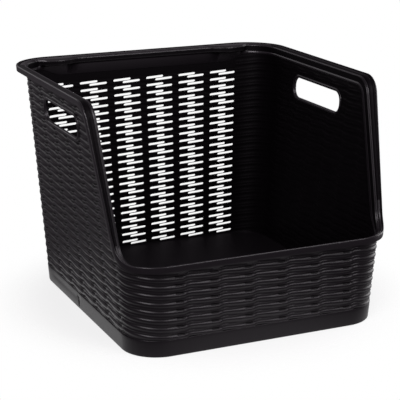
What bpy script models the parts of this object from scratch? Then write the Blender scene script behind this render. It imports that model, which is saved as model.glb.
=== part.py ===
"""Open-front stacking basket with woven-look walls.

The basket is one plastic moulding, and each object here is one section of it: the floor, the skirt,
the woven walls and corners, the runs of the rim, the hand holds and the stacking shelves.
Neighbouring sections are parted by a hairline gap.
Metres, +Z up, +Y to the back, X across. The origin lies under the middle of the whole basket.
"""

import math

import bmesh
import bpy
from mathutils import Matrix, Vector

# Body: the size at the foot, and how the walls rise from it
BASE_WIDTH = 0.2946
BASE_DEPTH = 0.3162
BODY_HEIGHT = 0.262
WALL_LEAN = 0.0623  # outward lean of every wall, per metre of height
CORNER_RADIUS = 0.040
WALL_THICKNESS = 0.0028
SECTION_GAP = 0.0003

# Skirt and floor
SKIRT_HEIGHT = 0.0192
SKIRT_THICKNESS = 0.0030
SKIRT_CHAMFER = 0.0010
FLOOR_TOP = 0.0170
FLOOR_THICKNESS = 0.0025

# Scoop: the low front and the raked front edges of the side walls
SILL_HEIGHT = 0.1031
SCOOP_SETBACK = 0.0711  # from the foot of the front wall back to the scoop's upper corner
SCOOP_RAKE = math.radians(17.3)
SHOULDER_RADIUS = 0.025
FOOT_RADIUS = 0.0234

# Rim: a flat flange with a turned-down lip outside and a collar inside
RIM_REACH_TOP = 0.0105
RIM_REACH_SILL = 0.0052
RIM_WALL = 0.0020
LIP_HEIGHT = 0.0070
LIP_CHAMFER = 0.0014
ARRIS_INSET = 0.0010
ARRIS_DROP = 0.0020
LEDGE_DROP = 0.0075
LEDGE_SLOPE = 0.0025
COLLAR_INSET = 0.0030
COLLAR_DEPTH = 0.0125

# Weave: rows of strands outside, and pairs of slits through the back wall
ROW_PITCH = 0.0093
GROOVE_DEPTH = 0.0010
SLIT_HEIGHT = 0.0028
SLIT_OFFSET = 0.00135  # of the upper and lower slit of a pair from the middle of their row
SLIT_RISE = 0.05  # upward slope of each slit, towards +X
SLIT_MARGIN = 0.0001
COLUMN_PITCH = 0.0434  # at the top row
PAIR_LENGTH = 0.0350  # at the top row
SLIT_LENGTH = 0.0230  # at the top row
COLUMN_SHIFT = -0.0038
BACK_PLAIN = 0.0345  # from the top of the rim down to the top row of slits
WALL_RETURN = 0.0140  # of each rear corner's arc that belongs to the back wall

# Hand holds through the side walls
HAND_LENGTH = 0.110
HAND_HEIGHT = 0.024
HAND_RADIUS = 0.0105
HAND_DROP = 0.0400  # from the top of the rim to the middle of the hole
HAND_SETBACK = 0.0224  # of the hole behind the middle of the base
HAND_FRAME = 0.0040
HAND_PROUD = 0.0008

# Stacking shelves in the rear corners
SHELF_INBOARD = 0.0250  # of each shelf that lies along the straight back
SHELF_OUTBOARD = 0.0150  # of each shelf that lies across the corner
SHELF_REACH = 0.0130

# Facets of round stretches
CORNER_STEPS = 5
BEND_STEPS = 8
RUN_STEPS = 8
HAND_STEPS = 6

# Lengths that follow from the sizes above
QUARTER = CORNER_RADIUS * math.pi / 2
WALL_FOOT = SKIRT_HEIGHT + SECTION_GAP
RIM_CLEAR = COLLAR_DEPTH + SECTION_GAP
SLIT_DROP = SLIT_RISE * SLIT_LENGTH / 2
GROOVE_BAND = 2 * (SLIT_OFFSET + SLIT_DROP + SLIT_MARGIN) + SLIT_HEIGHT
STRAND_STEP = (ROW_PITCH - GROOVE_BAND) / 4
FIRST_ROW = WALL_FOOT + GROOVE_BAND / 2
CUT_REACH = CORNER_RADIUS / 2
REAR_REACH = BASE_DEPTH / 2 + WALL_LEAN * (BODY_HEIGHT - LIP_CHAMFER) + RIM_REACH_TOP
FRONT_REACH = BASE_DEPTH / 2 + WALL_LEAN * (SILL_HEIGHT - LIP_CHAMFER) + RIM_REACH_SILL

BLACK_PLASTIC = (0.012, 0.012, 0.013, 1.0)
PLASTIC_ROUGHNESS = 0.42

SIDES = {"left": -1, "right": 1}
ENDS = {"front": -1, "rear": 1}


def clear_scene():
    """Remove every object that the file starts with."""
    for thing in list(bpy.data.objects):
        bpy.data.objects.remove(thing, do_unlink=True)


def half_width(z):
    """Half the outer width of the walls at a height."""
    return BASE_WIDTH / 2 + WALL_LEAN * z


def flat_reach(z):
    """Distance from the middle of a side wall to where its corners start, at a height."""
    return BASE_DEPTH / 2 + WALL_LEAN * z - CORNER_RADIUS


def wall_point(side, s, z, out):
    """A point on the leaning, round-cornered wall.

    s runs along the wall from the middle of the side wall, to the back where positive, round the
    corner and on towards the middle of the back or front. out is the distance outside the strands.
    """
    end = 1 if s > 0 else -1
    flat = flat_reach(z)
    past = abs(s) - flat
    corner_x = half_width(z) - CORNER_RADIUS
    radius = CORNER_RADIUS + out
    if past <= 0:
        x, y = corner_x + radius, s
    elif past <= QUARTER:
        angle = past / CORNER_RADIUS
        x, y = corner_x + radius * math.cos(angle), end * (flat + radius * math.sin(angle))
    else:
        x, y = corner_x - (past - QUARTER), end * (flat + radius)
    return Vector((side * x, y, z))


def add_object(name, mesh_builder, material):
    """Make a named object from a bmesh and hang it on the basket's empty."""
    bmesh.ops.recalc_face_normals(mesh_builder, faces=mesh_builder.faces)
    mesh = bpy.data.meshes.new(name)
    mesh_builder.to_mesh(mesh)
    mesh_builder.free()
    thing = bpy.data.objects.new(name, mesh)
    bpy.context.scene.collection.objects.link(thing)
    thing.parent = bpy.data.objects["basket"]
    if material:
        mesh.materials.append(material)
    return thing


def plastic(name):
    """Black moulded plastic for one section."""
    material = bpy.data.materials.new(name + "_plastic")
    material.use_nodes = True
    shader = material.node_tree.nodes["Principled BSDF"]
    shader.inputs["Base Color"].default_value = BLACK_PLASTIC
    shader.inputs["Roughness"].default_value = PLASTIC_ROUGHNESS
    shader.inputs["Metallic"].default_value = 0.0
    return material


def loft(rings, closed=False):
    """A solid through rings of equally many points, capped at both ends unless it closes on itself."""
    builder = bmesh.new()
    layers = [[builder.verts.new(point) for point in ring] for ring in rings]
    pairs = list(zip(layers, layers[1:]))
    if closed:
        pairs.append((layers[-1], layers[0]))
    else:
        builder.faces.new(layers[0])
        builder.faces.new(layers[-1])
    for here, there in pairs:
        for i in range(len(here)):
            j = (i + 1) % len(here)
            builder.faces.new((here[i], here[j], there[j], there[i]))
    return builder


def wall_section(name, profile, stations):
    """A stretch of wall: a profile of (out, z) points set up at each (side, end, along) station.

    along is the distance past the end of the side wall's straight stretch.
    """
    rings = []
    for side, end, along in stations:
        rings.append([wall_point(side, end * (flat_reach(z) + along), z, out) for out, z in profile])
    return add_object(name, loft(rings), plastic(name))


def corner_stations(side, end, start, stop):
    """Stations round a corner, from one distance along its arc to another."""
    span = stop - start
    return [(side, end, start + span * i / CORNER_STEPS) for i in range(CORNER_STEPS + 1)]


def row_heights(top):
    """Middle heights of the weave's rows whose strand still ends below a height."""
    count = int((top - FIRST_ROW - ROW_PITCH / 2 - STRAND_STEP) / ROW_PITCH) + 1
    return [FIRST_ROW + ROW_PITCH * i for i in range(count)]


def woven_profile(top):
    """Wall cross-section from the skirt to a height, with a groove and a strand for each row."""
    profile = [(-WALL_THICKNESS, top), (-WALL_THICKNESS, WALL_FOOT)]
    for row in row_heights(top):
        crest = row + ROW_PITCH / 2
        profile.append((-GROOVE_DEPTH, row - GROOVE_BAND / 2))
        profile.append((-GROOVE_DEPTH, row + GROOVE_BAND / 2))
        profile.append((0, crest - STRAND_STEP))
        profile.append((0, crest + STRAND_STEP))
    profile.append((0, top))
    return profile


def skirt_profile():
    """Cross-section of the plain skirt, with a flat foot and an eased outer edge."""
    return [
        (-SKIRT_THICKNESS, 0),
        (-SKIRT_CHAMFER, 0),
        (0, SKIRT_CHAMFER),
        (0, SKIRT_HEIGHT),
        (-SKIRT_THICKNESS, SKIRT_HEIGHT),
    ]


def build_skirt():
    """The plain band round the foot, in four runs and four corners."""
    profile = skirt_profile()
    for end_name, end in ENDS.items():
        run = [(-1, end, QUARTER + SECTION_GAP), (1, end, QUARTER + SECTION_GAP)]
        wall_section(f"skirt_{end_name}", profile, run)
        for side_name, side in SIDES.items():
            name = f"skirt_{end_name}_{side_name}_corner"
            wall_section(name, profile, corner_stations(side, end, 0, QUARTER))
    for side_name, side in SIDES.items():
        run = [(side, -1, -SECTION_GAP), (side, 1, -SECTION_GAP)]
        wall_section(f"skirt_{side_name}", profile, run)


def build_floor():
    """The smooth floor, raised inside the skirt."""
    rings = []
    inset = -(SKIRT_THICKNESS + SECTION_GAP)
    for z in (FLOOR_TOP - FLOOR_THICKNESS, FLOOR_TOP):
        ring = []
        for side, end in ((1, 1), (-1, 1), (-1, -1), (1, -1)):
            steps = range(CORNER_STEPS + 1)
            if side * end < 0:
                steps = reversed(steps)
            for i in steps:
                along = QUARTER * i / CORNER_STEPS
                ring.append(wall_point(side, end * (flat_reach(z) + along), z, inset))
        rings.append(ring)
    add_object("floor_panel", loft(rings), plastic("floor_panel"))


def scoop_path(inset):
    """The two bends of the edge between the top run and the sill, as lists of (point, normal) pairs.

    A point holds s and z on the unrolled wall, as in wall_point. inset moves the edge into the wall.
    """
    corner = Vector((SCOOP_SETBACK - BASE_DEPTH / 2, BODY_HEIGHT))
    down = Vector((-math.sin(SCOOP_RAKE), -math.cos(SCOOP_RAKE)))
    turn = math.pi / 2 - SCOOP_RAKE
    foot = corner + down * ((BODY_HEIGHT - SILL_HEIGHT) / math.cos(SCOOP_RAKE))
    shoulder_middle = corner + Vector((SHOULDER_RADIUS * math.tan(turn / 2), -SHOULDER_RADIUS))
    foot_middle = foot + Vector((-FOOT_RADIUS * math.tan(turn / 2), FOOT_RADIUS))
    bends = {"shoulder": [], "foot": []}
    for i in range(BEND_STEPS + 1):
        angle = turn * i / BEND_STEPS
        normal = Vector((-math.sin(angle), math.cos(angle)))
        bends["shoulder"].append((shoulder_middle + normal * (SHOULDER_RADIUS - inset), normal))
        bends["foot"].insert(0, (foot_middle - normal * (FOOT_RADIUS + inset), normal))
    return bends


def spread(start, stop, steps):
    """Evenly spaced points between two (point, normal) pairs, both ends included."""
    return [(start[0].lerp(stop[0], i / steps), start[1]) for i in range(steps + 1)]


def shifted(pair, distance):
    """A (point, normal) pair moved along the edge, towards the front where positive."""
    point, normal = pair
    return point + Vector((-normal.y, normal.x)) * distance, normal


def rim_reach(z):
    """How far the lip stands out from the wall at a height: more at the top than at the sill."""
    share = (z - SILL_HEIGHT) / (BODY_HEIGHT - SILL_HEIGHT)
    return RIM_REACH_SILL + (RIM_REACH_TOP - RIM_REACH_SILL) * share


def rim_profile(z):
    """Rim cross-section as (out, up) points: lip, flange, ledge, collar and channel under the flange."""
    reach = rim_reach(z)
    return [
        (reach, -LIP_HEIGHT),
        (reach, -LIP_CHAMFER),
        (reach - LIP_CHAMFER, 0),
        (0, 0),
        (-ARRIS_INSET, -ARRIS_DROP),
        (-ARRIS_INSET, -LEDGE_DROP),
        (-COLLAR_INSET, -LEDGE_DROP - LEDGE_SLOPE),
        (-COLLAR_INSET, -COLLAR_DEPTH),
        (0, -COLLAR_DEPTH),
        (0, -RIM_WALL),
        (reach - RIM_WALL, -RIM_WALL),
        (reach - RIM_WALL, -LIP_HEIGHT),
    ]


def rim_section(name, stations):
    """A stretch of rim through (side, point, normal) stations on the unrolled wall."""
    rings = []
    for side, point, normal in stations:
        ring = []
        for out, up in rim_profile(point.y):
            place = point + normal * up
            ring.append(wall_point(side, place.x, place.y, out))
        rings.append(ring)
    return add_object(name, loft(rings), plastic(name))


def build_rim():
    """The rim: back, rear corners, top runs, shoulders, raked edges, feet and sill."""
    upright = Vector((0, 1))
    rear = flat_reach(BODY_HEIGHT)
    front = -flat_reach(SILL_HEIGHT)
    back_end = Vector((rear + QUARTER + SECTION_GAP, BODY_HEIGHT))
    sill_end = Vector((front - QUARTER - SECTION_GAP, SILL_HEIGHT))
    rim_section("rim_back", [(side, back_end, upright) for side in SIDES.values()])
    rim_section("rim_sill", [(side, sill_end, upright) for side in SIDES.values()])
    bends = scoop_path(0)
    top_run = (
        (Vector((rear - SECTION_GAP, BODY_HEIGHT)), upright),
        shifted(bends["shoulder"][0], -SECTION_GAP),
    )
    edge_run = spread(
        shifted(bends["shoulder"][-1], SECTION_GAP),
        shifted(bends["foot"][0], -SECTION_GAP),
        RUN_STEPS,
    )
    corner_end = (Vector((front - QUARTER, SILL_HEIGHT)), upright)
    foot_run = bends["foot"] + spread(bends["foot"][-1], corner_end, RUN_STEPS)[1:]
    rear_run = spread(
        (Vector((rear + QUARTER, BODY_HEIGHT)), upright),
        (Vector((rear, BODY_HEIGHT)), upright),
        BEND_STEPS,
    )
    runs = {
        "rear_corner": rear_run,
        "top": top_run,
        "shoulder": bends["shoulder"],
        "front_edge": edge_run,
        "foot": foot_run,
    }
    for side_name, side in SIDES.items():
        for run_name, run in runs.items():
            rim_section(f"rim_{side_name}_{run_name}", [(side, point, normal) for point, normal in run])


def cutter(name, builder):
    """A hidden body that is cut out of a wall."""
    thing = add_object(name, builder, None)
    thing.hide_render = True
    thing.display_type = "WIRE"
    return thing


def cut(thing, tool):
    """Cut a tool's body out of an object."""
    boolean = thing.modifiers.new(tool.name, "BOOLEAN")
    boolean.operation = "DIFFERENCE"
    boolean.solver = "EXACT"
    boolean.object = tool


def scoop_cutter(side_name, side):
    """Everything above the edge that the rim leaves free on one side."""
    bends = scoop_path(RIM_CLEAR)
    top = BODY_HEIGHT - RIM_CLEAR
    sill = SILL_HEIGHT - RIM_CLEAR
    upright = Vector((0, 1))
    start = (Vector((flat_reach(top) + CUT_REACH, top)), upright)
    stop = (Vector((-flat_reach(sill) - QUARTER - CUT_REACH, sill)), upright)
    edge = [start] + bends["shoulder"]
    edge += spread(bends["shoulder"][-1], bends["foot"][0], RUN_STEPS)[1:-1]
    edge += bends["foot"] + spread(bends["foot"][-1], stop, RUN_STEPS)[1:]
    rings = []
    for point, _ in edge:
        outs = (-CUT_REACH, -COLLAR_INSET, 0, CUT_REACH)
        ring = [wall_point(side, point.x, point.y, out) for out in outs]
        ring += [wall_point(side, point.x, BODY_HEIGHT, out) for out in (CUT_REACH, -CUT_REACH)]
        rings.append(ring)
    return cutter(f"{side_name}_scoop_cutter", loft(rings))


def hand_outline(grow):
    """Points round a hand hold on the unrolled side wall, grown outwards by a distance."""
    radius = HAND_RADIUS + grow
    points = []
    for quadrant in range(4):
        across = 1 if quadrant in (0, 3) else -1
        up = 1 if quadrant in (0, 1) else -1
        middle_s = HAND_SETBACK + across * (HAND_LENGTH / 2 - HAND_RADIUS)
        middle_z = BODY_HEIGHT - HAND_DROP + up * (HAND_HEIGHT / 2 - HAND_RADIUS)
        for i in range(HAND_STEPS + 1):
            angle = (quadrant + i / HAND_STEPS) * math.pi / 2
            points.append((middle_s + radius * math.cos(angle), middle_z + radius * math.sin(angle)))
    return points


def hand_cutter(side_name, side):
    """The hole in a side wall that takes its hand hold."""
    outline = hand_outline(HAND_FRAME + SECTION_GAP)
    rings = [[wall_point(side, s, z, out) for s, z in outline] for out in (-CUT_REACH, CUT_REACH)]
    return cutter(f"{side_name}_hand_cutter", loft(rings))


def build_hand_hold(side_name, side):
    """The rounded frame that lines a hand hole and stands a little proud of both faces."""
    inner = hand_outline(0)
    outer = hand_outline(HAND_FRAME)
    outside = HAND_PROUD
    inside = -WALL_THICKNESS - HAND_PROUD
    rings = []
    for hole, edge in zip(inner, outer):
        corners = ((hole, outside), (edge, outside), (edge, inside), (hole, inside))
        rings.append([wall_point(side, place[0], place[1], out) for place, out in corners])
    name = f"{side_name}_hand_hold"
    add_object(name, loft(rings, closed=True), plastic(name))


def build_side_walls():
    """The side walls and front corners, cut to the scoop, with their hand holds."""
    profile = woven_profile(BODY_HEIGHT - COLLAR_DEPTH)
    for side_name, side in SIDES.items():
        scoop = scoop_cutter(side_name, side)
        run = [(side, -1, -SECTION_GAP), (side, 1, -SECTION_GAP)]
        wall = wall_section(f"{side_name}_wall", profile, run)
        cut(wall, scoop)
        cut(wall, hand_cutter(side_name, side))
        corner = wall_section(f"front_{side_name}_corner", profile, corner_stations(side, -1, 0, QUARTER))
        cut(corner, scoop)
        build_hand_hold(side_name, side)


def build_rear_corners():
    """The rear corners, up to the rim, as far as the back wall's return."""
    profile = woven_profile(BODY_HEIGHT - RIM_CLEAR)
    stop = QUARTER - WALL_RETURN - SECTION_GAP
    for side_name, side in SIDES.items():
        wall_section(f"rear_{side_name}_corner", profile, corner_stations(side, 1, 0, stop))


def build_front_wall():
    """The low front wall between its corners."""
    profile = woven_profile(SILL_HEIGHT - RIM_CLEAR)
    run = [(-1, -1, QUARTER + SECTION_GAP), (1, -1, QUARTER + SECTION_GAP)]
    wall_section("front_wall", profile, run)


def slit_rows():
    """Middle heights of the rows of slits in the back wall."""
    count = round((BODY_HEIGHT - BACK_PLAIN - FIRST_ROW) / ROW_PITCH) + 1
    return [FIRST_ROW + ROW_PITCH * i for i in range(count)]


def half_run(z):
    """Length of the wall from the middle of the back to the middle of a rear corner, at a height."""
    return half_width(z) - CORNER_RADIUS + QUARTER / 2


def slit_cutter():
    """All the slits of the back wall: in each row and column an upper left and a lower right one."""
    rows = slit_rows()
    room = 2 * (half_width(rows[-1]) - CORNER_RADIUS + WALL_RETURN - abs(COLUMN_SHIFT))
    columns = int((room - PAIR_LENGTH) / COLUMN_PITCH) + 1
    stagger = (PAIR_LENGTH - SLIT_LENGTH) / 2
    slope = Matrix.Identity(4)
    slope[2][0] = SLIT_RISE
    builder = bmesh.new()
    for row in rows:
        scale = half_run(row) / half_run(rows[-1])
        face = flat_reach(row) + CORNER_RADIUS
        for column in range(columns):
            middle = COLUMN_SHIFT + (column - (columns - 1) / 2) * COLUMN_PITCH
            for shift, up in ((-stagger, SLIT_OFFSET), (stagger, -SLIT_OFFSET)):
                place = Matrix.Translation(((middle + shift) * scale, face, row + up))
                size = Matrix.Diagonal((SLIT_LENGTH * scale, 2 * CUT_REACH, SLIT_HEIGHT, 1))
                bmesh.ops.create_cube(builder, size=1, matrix=place @ slope @ size)
    return cutter("back_slit_cutter", builder)


def build_back_wall():
    """The back wall with its slits, ending a little way round the rear corners."""
    profile = woven_profile(BODY_HEIGHT - RIM_CLEAR)
    stations = [(-1, 1, QUARTER - WALL_RETURN), (-1, 1, QUARTER)]
    stations += [(1, 1, QUARTER), (1, 1, QUARTER - WALL_RETURN)]
    wall = wall_section("back_wall", profile, stations)
    cut(wall, slit_cutter())


def build_shelves():
    """The two shelves that carry the base of a basket stacked on top."""
    top = BODY_HEIGHT - ARRIS_DROP
    bottom = BODY_HEIGHT - LEDGE_DROP + SECTION_GAP
    back_inset = -(ARRIS_INSET + SECTION_GAP)
    radius = CORNER_RADIUS + back_inset
    middle_x = half_width(bottom) - CORNER_RADIUS
    middle_y = flat_reach(bottom)
    back = middle_y + radius
    front = back - SHELF_REACH
    inner = middle_x - SHELF_INBOARD
    outer = middle_x + SHELF_OUTBOARD
    arc_end = math.asin(SHELF_OUTBOARD / radius)
    for side_name, side in SIDES.items():
        outline = [(outer, front), (inner, front), (inner, back)]
        for i in range(CORNER_STEPS + 1):
            angle = arc_end * i / CORNER_STEPS
            outline.append((middle_x + radius * math.sin(angle), middle_y + radius * math.cos(angle)))
        rings = [[Vector((side * x, y, z)) for x, y in outline] for z in (bottom, top)]
        name = f"rear_{side_name}_shelf"
        add_object(name, loft(rings), plastic(name))


def main():
    """Build every section of the basket under one empty."""
    clear_scene()
    basket = bpy.data.objects.new("basket", None)
    bpy.context.scene.collection.objects.link(basket)
    basket.location.y = (FRONT_REACH - REAR_REACH) / 2
    build_floor()
    build_skirt()
    build_front_wall()
    build_side_walls()
    build_rear_corners()
    build_back_wall()
    build_rim()
    build_shelves()


main()
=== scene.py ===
"""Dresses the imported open-front stacking basket and sets it in a plain studio.

The walls are woven-look plastic mouldings, pierced at the back. A stepped rim, a plain foot band,
beads round the hand holes and a smooth floor complete the basket. Sizes are metres in the part's own
frame, apart from the sections and the cells of the weave, which are millimetres.
"""

from __future__ import annotations

import logging
import math
from dataclasses import dataclass, field
from enum import Enum, IntEnum

import bmesh
import bpy
import numpy as np
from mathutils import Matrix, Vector


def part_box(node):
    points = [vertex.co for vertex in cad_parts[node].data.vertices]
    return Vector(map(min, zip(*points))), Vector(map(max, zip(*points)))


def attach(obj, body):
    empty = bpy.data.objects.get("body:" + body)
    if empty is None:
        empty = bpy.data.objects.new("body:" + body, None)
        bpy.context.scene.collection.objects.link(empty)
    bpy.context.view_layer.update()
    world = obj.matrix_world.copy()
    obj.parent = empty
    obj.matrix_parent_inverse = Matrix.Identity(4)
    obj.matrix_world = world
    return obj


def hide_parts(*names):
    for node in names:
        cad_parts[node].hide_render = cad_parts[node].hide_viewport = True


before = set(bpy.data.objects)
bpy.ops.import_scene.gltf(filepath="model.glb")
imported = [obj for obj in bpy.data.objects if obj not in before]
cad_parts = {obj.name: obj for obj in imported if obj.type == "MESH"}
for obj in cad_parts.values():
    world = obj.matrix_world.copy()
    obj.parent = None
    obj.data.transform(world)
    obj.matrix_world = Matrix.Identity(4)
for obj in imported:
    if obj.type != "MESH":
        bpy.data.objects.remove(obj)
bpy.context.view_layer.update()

LOG = logging.getLogger("basket")
MM = 0.001

# Margins in metres: past nothing at all, between points that are one, and between lines that agree.
TINY = 1e-9
MERGE = 1e-6
NEAR = 1e-5

# So few places are measured together that the arrays stay small.
PLACES_AT_A_TIME = 4000


class Slot(Enum):
    """The record's material slots."""

    WOVEN = "woven_plastic"
    RIM = "rim_plastic"
    SKIRT = "skirt_plastic"
    FLOOR = "smooth_floor"


class Wall(Enum):
    """The four walls, in the order in which they follow each other to the right in the outside view."""

    LEFT = 0
    FRONT = 1
    RIGHT = 2
    BACK = 3


class WallFace(IntEnum):
    """The faces of a woven panel, as the places of their materials. The inner faces and the faces deep in the
    grooves take darker copies of the plastic, as painted shade.
    """

    OUTER = 0
    INNER = 1
    DEEP_SHADE = 2


def smoothstep(low: float, high: float, value: np.ndarray) -> np.ndarray:
    """Eases from 0 at low to 1 at high.

    Args:
        low: Where the ramp starts.
        high: Where the ramp ends.
        value: The values to ease.

    Returns:
        Values from 0 to 1, of the same shape as value.
    """
    t = np.clip((np.asarray(value, float) - low) / (high - low), 0.0, 1.0)
    return t * t * (3.0 - 2.0 * t)


# Shape of the shell


@dataclass(frozen=True)
class ShellForm:
    """The basket's shell: leaning walls with round corners, and the line along which the rim runs."""

    base_width: float = 0.2946
    base_depth: float = 0.3162
    height: float = 0.262
    lean: float = 0.0623
    corner_radius: float = 0.040
    centre_shift: float = -0.007604
    skirt_height: float = 0.0192
    sill_height: float = 0.1031
    scoop_setback: float = 0.0711
    scoop_rake: float = math.radians(17.3)
    shoulder_radius: float = 0.025
    foot_radius: float = 0.0234
    bend_points: int = 15
    rake_points: int = 12
    corner_steps: int = 18
    run_limit: float = 0.288
    run_step: float = 0.006
    least_step: float = 0.0012

    @property
    def quarter(self) -> float:
        """Length of a quarter turn at a corner."""
        return self.corner_radius * math.pi / 2

    def half_width(self, z: np.ndarray) -> np.ndarray:
        """Half the outside width at height z."""
        return self.base_width / 2 + self.lean * z

    def flat(self, z: np.ndarray) -> np.ndarray:
        """Half the straight length of a side wall at height z."""
        return self.base_depth / 2 + self.lean * z - self.corner_radius

    def half_run(self, z: np.ndarray) -> np.ndarray:
        """Length from the middle of a side wall to the middle of the front or back, round the corner."""
        return self.flat(z) + self.quarter + self.half_width(z) - self.corner_radius

    def wall_length(self, wall: Wall, z: np.ndarray) -> np.ndarray:
        """Length of a wall at height z, from corner middle to corner middle."""
        if wall in (Wall.LEFT, Wall.RIGHT):
            return 2 * self.flat(z) + self.quarter
        return 2 * (self.half_width(z) - self.corner_radius) + self.quarter

    def unrolled(self, wall: Wall, place: np.ndarray, z: np.ndarray) -> tuple[np.ndarray, np.ndarray]:
        """Turns a place along a wall into a side and a run from the middle of that side wall.

        Args:
            wall: The wall on which the place lies.
            place: Distance from the wall's left end in the outside view.
            z: Height.

        Returns:
            The side, -1 for left and 1 for right, and the run, positive towards the back.
        """
        across = place - self.wall_length(wall, z) / 2
        if wall is Wall.LEFT:
            return -np.ones_like(across), -across
        if wall is Wall.RIGHT:
            return np.ones_like(across), across
        towards = np.where(across < 0, -1.0, 1.0)
        rest = self.half_run(z) - np.abs(across)
        return (towards, -rest) if wall is Wall.FRONT else (-towards, rest)

    def point(self, side: np.ndarray, run: np.ndarray, z: np.ndarray, out: np.ndarray) -> np.ndarray:
        """Places points on the shell.

        Args:
            side: -1 for the left half, 1 for the right half.
            run: Distance from the middle of the side wall, positive towards the back.
            z: Height.
            out: Distance outwards from the shell's outer face.

        Returns:
            The points, with x, y and z along the last axis.
        """
        side, run, z, out = np.broadcast_arrays(*(np.asarray(v, float) for v in (side, run, z, out)))
        radius = self.corner_radius
        flat = self.flat(z)
        past = np.abs(run) - flat
        angle = np.clip(past / radius, 0.0, math.pi / 2)
        beyond = np.maximum(past - self.quarter, 0.0)
        x = self.half_width(z) - radius + (radius + out) * np.cos(angle) - beyond
        y = np.where(run < 0, -1.0, 1.0) * (np.minimum(np.abs(run), flat) + (radius + out) * np.sin(angle))
        return np.stack([side * x, y + self.centre_shift, z], axis=-1)

    def rim_line(self) -> np.ndarray:
        """The rim's top edge on one half of the unrolled shell, from mid-back to mid-front.

        Returns:
            Rows of run, height and the outward direction's run and height.
        """
        turn = math.pi / 2 - self.scoop_rake
        corner = np.array([self.scoop_setback - self.base_depth / 2, self.height])
        down = np.array([-math.sin(self.scoop_rake), -math.cos(self.scoop_rake)])
        foot = corner + down * (self.height - self.sill_height) / math.cos(self.scoop_rake)
        shoulder_centre = corner + [self.shoulder_radius * math.tan(turn / 2), -self.shoulder_radius]
        foot_centre = foot + [-self.foot_radius * math.tan(turn / 2), self.foot_radius]
        bend = np.linspace(0.0, turn, self.bend_points)
        normal = np.stack([-np.sin(bend), np.cos(bend)], axis=-1)
        shoulder = shoulder_centre + normal * self.shoulder_radius
        foot_bend = (foot_centre - normal * self.foot_radius)[::-1]
        top = self.straight(self.half_run(self.height), shoulder[0, 0], self.height)
        rake = np.linspace(shoulder[-1], foot_bend[0], self.rake_points)[1:-1]
        sill = self.straight(foot_bend[-1, 0], -self.half_run(self.sill_height), self.sill_height)
        up = np.array([0.0, 1.0])
        sections = (
            (top, up),
            (shoulder[1:], normal[1:]),
            (rake, normal[-1]),
            (foot_bend[:-1], normal[::-1][:-1]),
            (sill, up),
        )
        rows = [np.hstack([line, np.broadcast_to(out, line.shape)]) for line, out in sections]
        return np.concatenate(rows)

    def straight(self, start: float, end: float, z: float) -> np.ndarray:
        """A level line of places on the unrolled shell, close together where it rounds a corner.

        Args:
            start: Run at the first place.
            end: Run at the last place.
            z: Height of the line.

        Returns:
            Rows of run and height.
        """
        flat = float(self.flat(z))
        marks = {start, end}
        turn = [flat + self.quarter * k / self.corner_steps for k in range(self.corner_steps + 1)]
        for sign in (-1, 1):
            marks.update(sign * mark for mark in turn)
        marks.update(np.arange(-self.run_limit, self.run_limit + self.run_step / 2, self.run_step))
        low, high = min(start, end), max(start, end)
        inside = sorted((mark for mark in marks if low <= mark <= high), reverse=start > end)
        kept = [inside[0]]
        for mark in inside[1:]:
            if abs(mark - kept[-1]) > self.least_step:
                kept.append(mark)
        kept[-1] = end
        return np.array([[mark, z] for mark in kept])

    def below_rim(self, run: np.ndarray, z: np.ndarray) -> tuple[np.ndarray, np.ndarray]:
        """Measures how far places lie below the rim's top edge on the unrolled shell.

        Args:
            run: Distance from the middle of the side wall, positive towards the back.
            z: Height.

        Returns:
            The distance, negative above the edge, and rows of the nearest edge point and its
            outward direction.
        """
        line = self.rim_line()
        start, step = line[:-1, :2], np.diff(line[:, :2], axis=0)
        places = np.stack([run.ravel(), z.ravel()], axis=-1)
        near = np.empty((len(places), 4))
        for first in range(0, len(places), PLACES_AT_A_TIME):
            some = slice(first, first + PLACES_AT_A_TIME)
            offset = places[some, None, :] - start
            share = np.clip((offset * step).sum(-1) / (step * step).sum(-1), 0.0, 1.0)
            gap = ((offset - share[..., None] * step) ** 2).sum(-1)
            best = gap.argmin(1)
            rows = np.arange(len(best))
            part = share[rows, best][:, None]
            near[some] = line[best] * (1 - part) + line[best + 1] * part
        edge_height = np.interp(-places[:, 0], -line[:, 0], line[:, 1])
        sign = np.where(places[:, 1] <= edge_height, 1.0, -1.0)
        distance = np.hypot(*(places - near[:, :2]).T) * sign
        return distance.reshape(run.shape), near.reshape(run.shape + (4,))


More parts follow.
